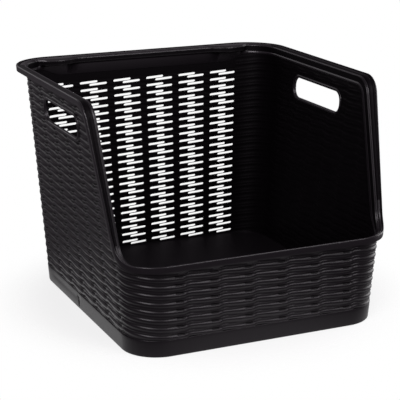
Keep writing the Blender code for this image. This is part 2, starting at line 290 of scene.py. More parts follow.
@dataclass(frozen=True)
class HandHole:
    """The round-ended hole in each side wall, on the unrolled shell."""

    middle_run: float = 0.0224
    middle_z: float = 0.222
    length: float = 0.110
    height: float = 0.024
    radius: float = 0.0105
    longest_step: float = 0.004

    def outside(self, run: np.ndarray, z: np.ndarray) -> tuple[np.ndarray, np.ndarray, np.ndarray]:
        """Measures how far places lie outside the hole.

        Args:
            run: Distance from the middle of the side wall.
            z: Height.

        Returns:
            The distance, negative in the hole, and the run and height of the direction away from it.
        """
        x, y = run - self.middle_run, z - self.middle_z
        a = np.abs(x) - (self.length / 2 - self.radius)
        b = np.abs(y) - (self.height / 2 - self.radius)
        far = np.hypot(np.maximum(a, 0.0), np.maximum(b, 0.0))
        distance = far + np.minimum(np.maximum(a, b), 0.0) - self.radius
        flat_x = a > b
        round_end = far > TINY
        safe = np.where(round_end, far, 1.0)
        way_x = np.where(round_end, np.maximum(a, 0.0) / safe, flat_x) * np.where(x < 0, -1.0, 1.0)
        way_y = np.where(round_end, np.maximum(b, 0.0) / safe, 1.0 - flat_x) * np.where(y < 0, -1.0, 1.0)
        return distance, way_x, way_y

    def outline(self, steps: int = 8) -> np.ndarray:
        """The hole's edge as a closed loop.

        Args:
            steps: Points in each of the four round corners.

        Returns:
            Rows of run, height and the direction away from the hole.
        """
        across, tall = self.length / 2 - self.radius, self.height / 2 - self.radius
        rows = []
        for corner, (sx, sy) in enumerate(((1, 1), (-1, 1), (-1, -1), (1, -1))):
            for k in range(steps + 1):
                angle = math.pi / 2 * (corner + k / steps)
                way = (math.cos(angle), math.sin(angle))
                run = self.middle_run + sx * across + way[0] * self.radius
                z = self.middle_z + sy * tall + way[1] * self.radius
                rows.append(np.array((run, z, *way)))
        line = []
        for row, after in zip(rows, rows[1:] + rows[:1]):
            gap = math.dist(row[:2], after[:2])
            parts = max(1, round(gap / self.longest_step))
            line += [row + (after - row) * k / parts for k in range(parts)]
        return np.array(line + line[:1])


# Finishes


@dataclass(frozen=True)
class PlasticFinish:
    """How one surface of the black moulded plastic looks. Its groove colour is painted shade, laid where the
    crest value is low; its lighter crest colour, on crests and edges, is painted highlight.
    """

    name: str
    crest: tuple[float, float, float] = (0.0046, 0.0034, 0.0046)
    # Painted shade: the darker colour laid in grooves and hollows.
    groove: tuple[float, float, float] = (0.0022, 0.0014, 0.0022)
    rough_low: float = 0.33
    rough_high: float = 0.40
    specular: float = 0.30
    grain_scale: float = 900.0
    grain_depth: float = 0.00006
    grain_strength: float = 0.5
    # How much a slow mottle breaks up the mask of painted shade, painted highlight and rub.
    shade_and_rub: float = 0.5
    tint: tuple[float, float, float] = (1.0, 0.94, 1.0)


def math_node(nodes: bpy.types.Nodes, operation: str) -> bpy.types.Node:
    """Adds a Math node that does one operation.

    Args:
        nodes: The nodes to add to.
        operation: What the node does with its inputs.

    Returns:
        The node.
    """
    node = nodes.new("ShaderNodeMath")
    node.operation = operation
    return node


class PlasticShop:
    """Makes the basket's materials from two shared node groups."""

    def __init__(self) -> None:
        """Builds the shared groups once."""
        self.grain = self.make_grain()
        self.shade_and_rub = self.make_shade_and_rub()

    def make_grain(self) -> bpy.types.NodeTree:
        """Builds the group for the fine moulded grain.

        Returns:
            A group that puts out a height and a slow mottle over the surface.
        """
        tree = bpy.data.node_groups.new("moulded_grain", "ShaderNodeTree")
        face = tree.interface
        face.new_socket("Scale", in_out="INPUT", socket_type="NodeSocketFloat").default_value = 900.0
        face.new_socket("Height", in_out="OUTPUT", socket_type="NodeSocketFloat")
        face.new_socket("Mottle", in_out="OUTPUT", socket_type="NodeSocketFloat")
        nodes, links = tree.nodes, tree.links
        inlet, outlet = nodes.new("NodeGroupInput"), nodes.new("NodeGroupOutput")
        place = nodes.new("ShaderNodeTexCoord")
        fine, slow = nodes.new("ShaderNodeTexNoise"), nodes.new("ShaderNodeTexNoise")
        fine.inputs["Detail"].default_value = 3.0
        slow.inputs["Scale"].default_value = 38.0
        slow.inputs["Detail"].default_value = 4.0
        for noise in (fine, slow):
            links.new(place.outputs["Object"], noise.inputs["Vector"])
        links.new(inlet.outputs["Scale"], fine.inputs["Scale"])
        links.new(fine.outputs["Fac"], outlet.inputs["Height"])
        links.new(slow.outputs["Fac"], outlet.inputs["Mottle"])
        return tree

    def make_shade_and_rub(self) -> bpy.types.NodeTree:
        """Builds the group that paints shade into grooves and highlight onto crests and edges, which are also
        rubbed smoother.

        Returns:
            A group that puts out a mask of painted light and rub from the piece's crest attribute and a
            mottle.
        """
        tree = bpy.data.node_groups.new("painted_shade_and_rubbed_crests", "ShaderNodeTree")
        face = tree.interface
        for name, value in (("Crest", 0.5), ("Mottle", 0.5), ("Amount", 0.5)):
            face.new_socket(name, in_out="INPUT", socket_type="NodeSocketFloat").default_value = value
        face.new_socket("Lit And Rubbed", in_out="OUTPUT", socket_type="NodeSocketFloat")
        nodes, links = tree.nodes, tree.links
        inlet, outlet = nodes.new("NodeGroupInput"), nodes.new("NodeGroupOutput")
        spread = nodes.new("ShaderNodeMapRange")
        spread.inputs["From Min"].default_value = 0.32
        spread.inputs["From Max"].default_value = 0.68
        links.new(inlet.outputs["Mottle"], spread.inputs["Value"])
        part, keep, lit_and_rubbed = (math_node(nodes, name) for name in ("MULTIPLY", "SUBTRACT", "MULTIPLY"))
        links.new(spread.outputs["Result"], part.inputs[0])
        links.new(inlet.outputs["Amount"], part.inputs[1])
        keep.inputs[0].default_value = 1.0
        links.new(part.outputs["Value"], keep.inputs[1])
        lit_and_rubbed.use_clamp = True
        links.new(inlet.outputs["Crest"], lit_and_rubbed.inputs[0])
        links.new(keep.outputs["Value"], lit_and_rubbed.inputs[1])
        links.new(lit_and_rubbed.outputs["Value"], outlet.inputs["Lit And Rubbed"])
        return tree

    def make(self, finish: PlasticFinish) -> bpy.types.Material:
        """Builds one material.

        Args:
            finish: The colours, gloss and grain to give it.

        Returns:
            The material.
        """
        material = bpy.data.materials.new(finish.name)
        material.use_nodes = True
        nodes, links = material.node_tree.nodes, material.node_tree.links
        shader = nodes["Principled BSDF"]
        shader.inputs["Specular IOR Level"].default_value = finish.specular
        shader.inputs["Specular Tint"].default_value = (*finish.tint, 1.0)
        grain = nodes.new("ShaderNodeGroup")
        grain.node_tree = self.grain
        grain.inputs["Scale"].default_value = finish.grain_scale
        crest = nodes.new("ShaderNodeAttribute")
        crest.attribute_name = "crest"
        shade_and_rub = nodes.new("ShaderNodeGroup")
        shade_and_rub.node_tree = self.shade_and_rub
        shade_and_rub.inputs["Amount"].default_value = finish.shade_and_rub
        links.new(crest.outputs["Fac"], shade_and_rub.inputs["Crest"])
        links.new(grain.outputs["Mottle"], shade_and_rub.inputs["Mottle"])
        # Base colour: the groove colour, where the mask is low, is painted shade; the crest colour, where it
        # is high, is painted highlight.
        colour = nodes.new("ShaderNodeMix")
        colour.data_type = "RGBA"
        colour.inputs["A"].default_value = (*finish.groove, 1.0)
        colour.inputs["B"].default_value = (*finish.crest, 1.0)
        links.new(shade_and_rub.outputs["Lit And Rubbed"], colour.inputs["Factor"])
        links.new(colour.outputs["Result"], shader.inputs["Base Color"])
        gloss = nodes.new("ShaderNodeMapRange")
        gloss.inputs["To Min"].default_value = finish.rough_high
        gloss.inputs["To Max"].default_value = finish.rough_low
        links.new(shade_and_rub.outputs["Lit And Rubbed"], gloss.inputs["Value"])
        links.new(gloss.outputs["Result"], shader.inputs["Roughness"])
        bump = nodes.new("ShaderNodeBump")
        bump.inputs["Strength"].default_value = finish.grain_strength
        bump.inputs["Distance"].default_value = finish.grain_depth
        links.new(grain.outputs["Height"], bump.inputs["Height"])
        links.new(bump.outputs["Normal"], shader.inputs["Normal"])
        return material


# Making pieces


@dataclass(frozen=True)
class Dress:
    """What a finished mesh needs to become a piece of the basket."""

    name: str
    slot: Slot
    nodes: tuple[str, ...]
    sharp: float = math.radians(65.0)


def finish_piece(mesh: bmesh.types.BMesh, dress: Dress, *materials: bpy.types.Material) -> bpy.types.Object:
    """Turns a bmesh into a piece that rides on the basket and stands for its CAD nodes.

    Args:
        mesh: The finished shape, freed here.
        dress: The piece's name, slot, nodes and edge angle; its slot is not used here.
        materials: Its materials, in the order in which its faces name them.

    Returns:
        The new object.
    """
    data = bpy.data.meshes.new(dress.name)
    mesh.to_mesh(data)
    mesh.free()
    data.shade_smooth()
    data.set_sharp_from_angle(angle=dress.sharp)
    for material in materials:
        data.materials.append(material)
    piece = bpy.data.objects.new(dress.name, data)
    bpy.context.scene.collection.objects.link(piece)
    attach(piece, "root")
    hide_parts(*dress.nodes)
    triangles = sum(len(face.vertices) - 2 for face in data.polygons)
    LOG.info("%s: %d triangles", dress.name, triangles)
    return piece


def swept_ring(points: np.ndarray, crest: np.ndarray, shade_faces: np.ndarray | None = None) -> bmesh.types.BMesh:
    """Sweeps a closed profile round a closed path.

    Args:
        points: Places by station, profile point and axis. The first and last stations agree, and so do
            the first and last profile points.
        crest: The crest value of each place, which paints highlight where high and shade where low.
        shade_faces: Whether the face that starts at each place takes the second material, a darker copy that
            paints shade; none do without it.

    Returns:
        The closed mesh with its crest attribute.
    """
    stations, profile = points.shape[:2]
    mesh = bmesh.new()
    bmesh.ops.create_grid(mesh, x_segments=profile - 1, y_segments=stations - 1, size=0.5)
    layer = mesh.verts.layers.float.new("crest")
    mesh.verts.ensure_lookup_table()
    flat, values = points.reshape(-1, 3), crest.reshape(-1)
    for vert in mesh.verts:
        vert.co = flat[vert.index]
        vert[layer] = values[vert.index]
    if shade_faces is not None:
        chosen = shade_faces.reshape(-1)
        for face in mesh.faces:
            face.material_index = int(chosen[min(vert.index for vert in face.verts)])
    bmesh.ops.remove_doubles(mesh, verts=mesh.verts[:], dist=MERGE)
    bmesh.ops.recalc_face_normals(mesh, faces=mesh.faces[:])
    return mesh


# Woven walls


@dataclass(frozen=True)
class WallWeave:
    """Where the cells of the weave lie along one wall, how far its rows are shifted up, and how deep its
    upper grooves are beside those of the front."""

    first: float
    pitch: float
    cells: int
    lift: float
    upper: float = 1.0
    scaled: bool = False


@dataclass(frozen=True)
class Stretch:
    """A stretch of one wall that a panel covers, from place to place, and the lift of its rows."""

    wall: Wall
    start: float
    end: float
    lift: float


@dataclass
class Columns:
    """The upright grid lines of one panel, as matching lists.

    A line lies at its fixed place plus its share of the wall's length. Its phase is its place in its
    cell, low and high are the depths of its two grooves, wave is the rise of its strands, and lift is
    its distance from the nearer end of the wall, negative from the right end.
    """

    wall: list[Wall] = field(default_factory=list)
    fixed: list[float] = field(default_factory=list)
    share: list[float] = field(default_factory=list)
    phase: list[float] = field(default_factory=list)
    low: list[float] = field(default_factory=list)
    high: list[float] = field(default_factory=list)
    wave: list[float] = field(default_factory=list)
    lift: list[float] = field(default_factory=list)


@dataclass
class WovenWalls:
    """The four woven panels, each a thin shell with staggered, tapering grooves between round strands.

    Phases, slits, stake and cell are millimetres along a cell of the back wall, to which the other
    walls' cells are scaled. Heights and bottoms are millimetres from the middle of a strand.
    """

    shell: ShellForm
    hole: HandHole
    row_pitch: float = 0.0093
    first_row: float = 0.0229
    row_count: int = 27
    rows_below: int = 2
    cell: float = 43.4
    stake: float = 39.2
    scaled_at: float = 0.2275
    fixed_at: float = 0.06
    rise: float = 0.0008
    fall: float = 0.0008
    thickness: float = 0.0026
    inner_share: float = 0.24
    groove_depth: float = 0.0019
    groove_offset: float = 0.00165
    slit_rows: int = 23
    slit_half: float = 0.0015
    lower_slit: tuple[float, float] = (0.0, 23.0)
    upper_slit: tuple[float, float] = (12.0, 35.0)
    lower_bottom: tuple[float, float] = (-3.15, -2.4)
    upper_bottom: tuple[float, float] = (0.15, 0.9)
    shade_from: float = 0.94
    shade_strength: float = 0.6
    corner_lines: int = 8
    corner_low: float = 0.66
    corner_high: float = 0.45
    lift_ease: float = 0.034
    foot_lap: float = 0.0002
    edge_gap: float = 0.0026
    edge_sink: float = 0.0005
    hole_gap: float = 0.0020
    rim_fade: tuple[float, float] = (0.005, 0.011)
    hole_fade: tuple[float, float] = (0.003, 0.007)
    inner_fade: tuple[float, float] = (0.012, 0.019)
    plain_top: float = 0.2305
    plain_fade: float = 0.003
    weaves: dict[Wall, WallWeave] = field(default_factory=lambda: {
        Wall.LEFT: WallWeave(0.0135, 0.0396, 7, 0.0067, upper=1.36),
        Wall.FRONT: WallWeave(0.0291, 0.0395, 6, 0.0029),
        Wall.RIGHT: WallWeave(0.0135, 0.0396, 7, -0.0022, upper=1.36),
        Wall.BACK: WallWeave(-0.1222, 0.0434, 6, 0.0, scaled=True),
    })
    phases: tuple[float, ...] = (
        0.0, 0.7, 1.8, 5.5, 9.2, 11.7, 12.0, 12.7, 13.8, 17.5, 21.2, 22.3, 23.0, 23.3, 27.0, 31.0, 33.2, 34.3,
        35.0, 39.2)
    heights: tuple[float, ...] = (-4.65, -3.6, -3.15, -2.4, -0.9, -0.15, 0.15, 0.9, 2.4, 3.15, 3.6)

    @property
    def slits(self) -> tuple[tuple[float, float, float], ...]:
        """Height, first phase and last phase of the two slits in each cell."""
        return (-self.groove_offset, *self.lower_slit), (self.groove_offset, *self.upper_slit)

    def lower_groove(self, phase: float) -> float:
        """Depth of the lower groove, 0 to 1: it fades in from the left and ends sharply."""
        places = [0.0, 5.5, 12.0, 21.2, 23.0, 23.3, 27.0, 31.0, 35.0, self.stake, self.cell]
        return float(np.interp(phase, places,
                               [0.66, 0.82, 1.0, 1.0, 0.85, 0.64, 0.62, 0.60, 0.57, 0.58, 0.66]))

    def upper_groove(self, phase: float) -> float:
        """Depth of the upper groove, 0 to 1: it starts sharply and fades out to the right."""
        places = [0.0, 5.5, 9.2, 12.7, 17.5, 27.0, 35.0, self.cell]
        return float(np.interp(phase, places, [0.35, 0.32, 0.4, 0.58, 0.7, 0.7, 0.5, 0.35]))

    def strand_wave(self, phase: float) -> float:
        """Rise of the strands of the back, which fall to the right and climb back over each stake."""
        places = [0.0, 35.0, 37.0, 41.4, self.cell]
        return float(self.rise * np.interp(phase, places, [1.0, -1.0, -0.85, 0.85, 1.0]))

    def strand_fall(self, phase: float) -> float:
        """Rise of the other walls' strands, which climb where the lower groove ends and fall from there."""
        places = [0.0, 17.5, 21.2, 23.3, 27.0, 31.0, self.cell]
        return float(self.fall * np.interp(phase, places, [0.0, -0.85, -0.9, -0.45, 0.75, 0.9, 0.0]))

    def lower_section(self, above: np.ndarray) -> np.ndarray:
        """Depth across a lower groove, 1 at the bottom: a narrow slot under a round strand."""
        return np.interp(above / MM, [-3.0, -1.95, -1.5, -0.75, 0.75, 1.5, 1.95, 3.0],
                         [0.0, 0.16, 0.36, 1.0, 1.0, 0.45, 0.27, 0.0])

    def upper_section(self, above: np.ndarray) -> np.ndarray:
        """Depth across an upper groove, 1 at the bottom: it slopes out over the strand below."""
        return np.interp(above / MM, [-4.05, -2.55, -1.8, -1.5, -0.75, 0.75, 1.5, 1.95, 3.0],
                         [0.0, 0.25, 0.5, 0.65, 1.0, 1.0, 0.4, 0.2, 0.0])

    def wall_columns(self, columns: Columns, stretch: Stretch) -> None:
        """Adds the upright lines of one stretch of wall to a panel.

        Args:
            columns: The panel's lines so far, added to in place.
            stretch: The stretch whose lines are wanted.
        """
        weave = self.weaves[stretch.wall]
        full = float(self.shell.wall_length(stretch.wall, self.scaled_at if weave.scaled else self.fixed_at))
        first = weave.first + (full / 2 if weave.scaled else 0.0)
        stop = first + weave.cells * weave.pitch
        wavy = self.strand_wave if weave.scaled else self.strand_fall
        level, middle, count = wavy(0.0), self.rise / 2, self.corner_lines
        corner = (math.nan, self.corner_low, self.corner_high)
        lines = [(first * k / count, *corner, middle + (level - middle) * k / count) for k in range(count)]
        for cell in range(weave.cells):
            for phase in self.phases:
                place = first + (cell + phase / self.cell) * weave.pitch
                high = weave.upper * self.upper_groove(phase)
                lines.append((place, phase, self.lower_groove(phase), high, wavy(phase)))
        lines.append((stop, 0.0, self.corner_low, weave.upper * self.upper_groove(0.0), level))
        lines += [(stop + (full - stop) * k / count, *corner, level + (middle - level) * k / count)
                  for k in range(1, count + 1)]
        for place, phase, low, high, wave in lines:
            wanted = stretch.start - NEAR <= place <= stretch.end + NEAR
            if not wanted or (columns.wall and place < MERGE):
                continue
            share = place / full if weave.scaled else max(0.0, (place - stop) / (full - stop))
            fixed = 0.0 if weave.scaled else place if share == 0 else stop * (1 - share)
            columns.wall.append(stretch.wall)
            columns.fixed.append(fixed)
            columns.share.append(share)
            columns.phase.append(phase)
            columns.low.append(low)
            columns.high.append(high)
            columns.wave.append(wave)
            columns.lift.append(min(place - full, -TINY) if place > full / 2 else place)

    def seam(self, wall: Wall, cell: int) -> float:
        """Place along a wall of the stake at the end of a cell, where two panels meet."""
        weave = self.weaves[wall]
        return weave.first + (cell + self.stake / self.cell) * weave.pitch

    def panel(self, stretches: list[Stretch]) -> tuple[Columns, np.ndarray]:
        """Collects a panel's upright lines from the stretches of wall that it covers.

        Args:
            stretches: The stretches, to the right in the outside view.

        Returns:
            The lines, and the lift of the rows at each line.
        """
        columns = Columns()
        lifts: list[float] = []
        for index, stretch in enumerate(stretches):
            count = len(columns.wall)
            self.wall_columns(columns, stretch)
            before = stretches[max(index - 1, 0)].lift
            after = stretches[min(index + 1, len(stretches) - 1)].lift
            for offset in columns.lift[count:]:
                other = before if offset >= 0 else after
                ease = float(smoothstep(-self.lift_ease, self.lift_ease, np.array(abs(offset))))
                lifts.append(other * (1 - ease) + stretch.lift * ease)
        return columns, np.array(lifts)

    def build(self, name: str, stretches: list[Stretch], nodes: tuple[str, ...],
              *materials: bpy.types.Material) -> bpy.types.Object:
        """Builds one woven panel.

        Args:
            name: The piece's name.
            stretches: The stretches of wall that it covers.
            nodes: The CAD nodes that it stands for.
            materials: The woven plastic outside, and its darker copies inside and deep in the grooves, which
                paint shade.

        Returns:
            The piece.
        """
        columns, lifts = self.panel(stretches)
        phase = np.array(columns.phase)
        pierced = np.array([wall is Wall.BACK for wall in columns.wall]) & ~np.isnan(phase)
        rows = np.repeat(np.arange(-self.rows_below, self.row_count), len(self.heights))
        steps = np.tile(np.array(self.heights) * MM, self.row_count + self.rows_below)

        height = self.pinched(phase, steps, pierced)
        z = self.first_row + rows[:, None] * self.row_pitch + height + np.array(columns.wave) + lifts
        side, run = self.along(columns, z)
        z_low = self.shell.skirt_height - self.foot_lap
        keep = z > z_low
        z = np.maximum(z, z_low)
        below, near = self.shell.below_rim(run, z)
        over = below < self.edge_gap
        keep &= ~over
        run = np.where(over, near[..., 0] - near[..., 2] * self.edge_gap, run)
        z = np.where(over, near[..., 1] - near[..., 3] * self.edge_gap, z)
        away, way_run, way_z = self.hole.outside(run, z)
        inside = away < self.hole_gap
        keep &= ~inside
        push = np.where(inside, self.hole_gap - away, 0.0)
        run, z = run + push * way_run, z + push * way_z

        grooves = np.maximum(np.array(columns.low) * self.lower_section(height + self.groove_offset),
                             np.array(columns.high) * self.upper_section(height - self.groove_offset))
        strong = smoothstep(*self.rim_fade, below) * smoothstep(*self.hole_fade, np.abs(away))
        plain = smoothstep(self.plain_top, self.plain_top + self.plain_fade, z)
        strong = strong * np.where(pierced, 1 - plain, 1.0)
        out = -self.groove_depth * grooves * strong - self.edge_sink * (1 - strong)
        inward = out * self.inner_share * smoothstep(*self.inner_fade, below) - self.thickness
        outer, inner = (self.shell.point(side, run, z, depth) for depth in (out, inward))
        # Faces deep in the grooves take the darker groove copy: painted shade.
        groove_shade_faces = self.groove_bottoms(columns, steps) & (strong > self.shade_strength)
        open_faces = self.slit_faces(columns, rows, steps)
        # The crest value paints shade in the grooves and highlight on the strands.
        mesh = self.sheet(outer, inner, 1 - grooves * strong, keep, groove_shade_faces, open_faces)
        return finish_piece(mesh, Dress(name, Slot.WOVEN, nodes), *materials)

    def along(self, columns: Columns, z: np.ndarray) -> tuple[np.ndarray, np.ndarray]:
        """Finds where the grid's places lie on the unrolled shell.

        Args:
            columns: The panel's upright lines.
            z: The heights of the grid's places, by level and upright line.

        Returns:
            The side and the run of each place.
        """
        side, run = np.empty_like(z), np.empty_like(z)
        for wall in Wall:
            chosen = np.array([other is wall for other in columns.wall])
            if chosen.any():
                length = self.shell.wall_length(wall, z[:, chosen])
                place = np.array(columns.fixed)[chosen] + np.array(columns.share)[chosen] * length
                side[:, chosen], run[:, chosen] = self.shell.unrolled(wall, place, z[:, chosen])
        return side, run

    def groove_bottoms(self, columns: Columns, steps: np.ndarray) -> np.ndarray:
        """Finds the grid faces at the bottom of the deepest grooves, which take a darker material as painted
        shade.

        Args:
            columns: The panel's upright lines.
            steps: The height of each level line within its row.

        Returns:
            Whether the face that starts at each place is one, by level and upright line.
        """
        bottoms = np.zeros((len(steps), len(columns.wall)), bool)
        for depth, starts in ((columns.low, self.lower_bottom), (columns.high, self.upper_bottom)):
            deep = np.minimum(depth, np.roll(depth, -1)) >= self.shade_from
            for start in starts:
                bottoms |= deep & np.isclose(steps, start * MM)[:, None]
        return bottoms

    def pinched(self, phase: np.ndarray, steps: np.ndarray, pierced: np.ndarray) -> np.ndarray:
        """Heights of the grid within a row, drawn together at the tips of the slits.

        Args:
            phase: The lines' places in their cells.
            steps: The height of each level line within its row.
            pierced: Which lines lie in the cells of the pierced wall.

        Returns:
            The heights by level and upright line.
        """
        height = np.repeat(steps[:, None], len(phase), axis=1)
        for middle, start, end in self.slits:
            inset = np.minimum(phase - start, end - phase)
            half = np.interp(inset, [0.0, 0.7, 1.8], [0.0006, 0.00122, self.slit_half])
            scale = np.where(pierced & (inset >= 0), half / self.slit_half, 1.0)
            within = np.abs(steps - middle) < self.slit_half + NEAR
            height[within] = middle + (height[within] - middle) * scale
        return height

    def slit_faces(self, columns: Columns, rows: np.ndarray, steps: np.ndarray) -> set[tuple[int, int]]:
        """Finds the grid faces that are cut away as slits.

        Args:
            columns: The panel's upright lines.
            rows: The row of each level line.
            steps: The height of each level line within its row.

        Returns:
            The faces, as pairs of level and upright line.
        """
        faces = set()
        for middle, start, end in self.slits:
            above = steps - middle
            cut = (0 <= rows) & (rows < self.slit_rows)
            cut &= (above > -self.slit_half - NEAR) & (above < self.slit_half - NEAR)
            levels = np.flatnonzero(cut).tolist()
            for line, (wall, phase) in enumerate(zip(columns.wall, columns.phase)):
                if wall is Wall.BACK and start <= phase < end:
                    faces.update((level, line) for level in levels)
        return faces

    def sheet(self, outer: np.ndarray, inner: np.ndarray, crest: np.ndarray, keep: np.ndarray,
              groove_shade_faces: np.ndarray, open_faces: set[tuple[int, int]]) -> bmesh.types.BMesh:
        """Makes a shell from a grid of outer and inner places.

        Args:
            outer: The outer face's places.
            inner: The inner face's places.
            crest: Crest value of each outer place, low in grooves, where the materials paint shade, and high
                on strands, where they paint highlight.
            keep: Which places lie inside the panel's edges.
            groove_shade_faces: Whether the outer face that starts at each place lies deep in a groove and
                takes the darker material that paints shade.
            open_faces: Faces that are cut away.

        Returns:
            The closed shell.
        """
        count_w, count_u = keep.shape
        mesh = bmesh.new()
        bmesh.ops.create_grid(mesh, x_segments=count_u - 1, y_segments=count_w - 1, size=0.5)
        layer = mesh.verts.layers.float.new("crest")
        mark = mesh.verts.layers.int.new("mark")
        mesh.verts.ensure_lookup_table()
        flat_outer, flat_inner = outer.reshape(-1, 3), inner.reshape(-1, 3)
        flat_crest, flat_keep, flat_groove_shade = (values.reshape(-1) for values in (crest, keep, groove_shade_faces))
        for vert in mesh.verts:
            vert.co = flat_outer[vert.index]
            vert[layer] = flat_crest[vert.index]
            vert[mark] = vert.index
        gone = []
        for face in mesh.faces:
            corners = [vert.index for vert in face.verts]
            lowest = min(corners)
            if divmod(lowest, count_u) in open_faces or not any(flat_keep[index] for index in corners):
                gone.append(face)
            elif flat_groove_shade[lowest]:
                # Painted shade: the darker material deep in the groove.
                face.material_index = WallFace.DEEP_SHADE
        bmesh.ops.delete(mesh, geom=gone, context="FACES")
        bmesh.ops.recalc_face_normals(mesh, faces=mesh.faces[:])
        grown = bmesh.ops.extrude_face_region(mesh, geom=mesh.faces[:], use_keep_orig=True)
        for part in grown["geom"]:
            if isinstance(part, bmesh.types.BMVert):
                part.co = flat_inner[part[mark]]
                # The inner face takes the opposite crest value, so its painted shade and highlight follow its
                # own ridges and hollows.
                part[layer] = 1.0 - part[layer]
            elif isinstance(part, bmesh.types.BMFace):
                part.material_index = WallFace.INNER
        mesh.verts.layers.int.remove(mark)
        bmesh.ops.dissolve_degenerate(mesh, edges=mesh.edges[:], dist=MERGE)
        bmesh.ops.recalc_face_normals(mesh, faces=mesh.faces[:])
        return mesh

    def build_all(self, *materials: bpy.types.Material) -> None:
        """Builds the four panels, which meet in the middle of stakes.

        Args:
            materials: The woven plastic outside, and its darker copies inside and deep in the grooves, which
                paint shade.
        """
        end = math.inf
        left_seam, right_seam = self.seam(Wall.LEFT, 0), self.seam(Wall.RIGHT, 5)
        front_left, front_right = self.seam(Wall.FRONT, 0), self.seam(Wall.FRONT, 4)
        lift = {wall: weave.lift for wall, weave in self.weaves.items()}
        self.build("back_weave", [
            Stretch(Wall.RIGHT, right_seam, end, lift[Wall.RIGHT] + self.row_pitch),
            Stretch(Wall.BACK, 0.0, end, lift[Wall.BACK]),
            Stretch(Wall.LEFT, 0.0, left_seam, lift[Wall.LEFT] - self.row_pitch),
        ], ("back_wall", "rear_left_corner", "rear_right_corner"), *materials)
        self.build("left_weave", [
            Stretch(Wall.LEFT, left_seam, end, lift[Wall.LEFT]),
            Stretch(Wall.FRONT, 0.0, front_left, lift[Wall.FRONT]),
        ], ("left_wall", "front_left_corner"), *materials)
        self.build("front_weave", [
            Stretch(Wall.FRONT, front_left, front_right, lift[Wall.FRONT]),
        ], ("front_wall",), *materials)
        self.build("right_weave", [
            Stretch(Wall.FRONT, front_right, end, lift[Wall.FRONT]),
            Stretch(Wall.RIGHT, 0.0, right_seam, lift[Wall.RIGHT]),
        ], ("right_wall", "front_right_corner"), *materials)


# Rim, hand holds, foot band and floor


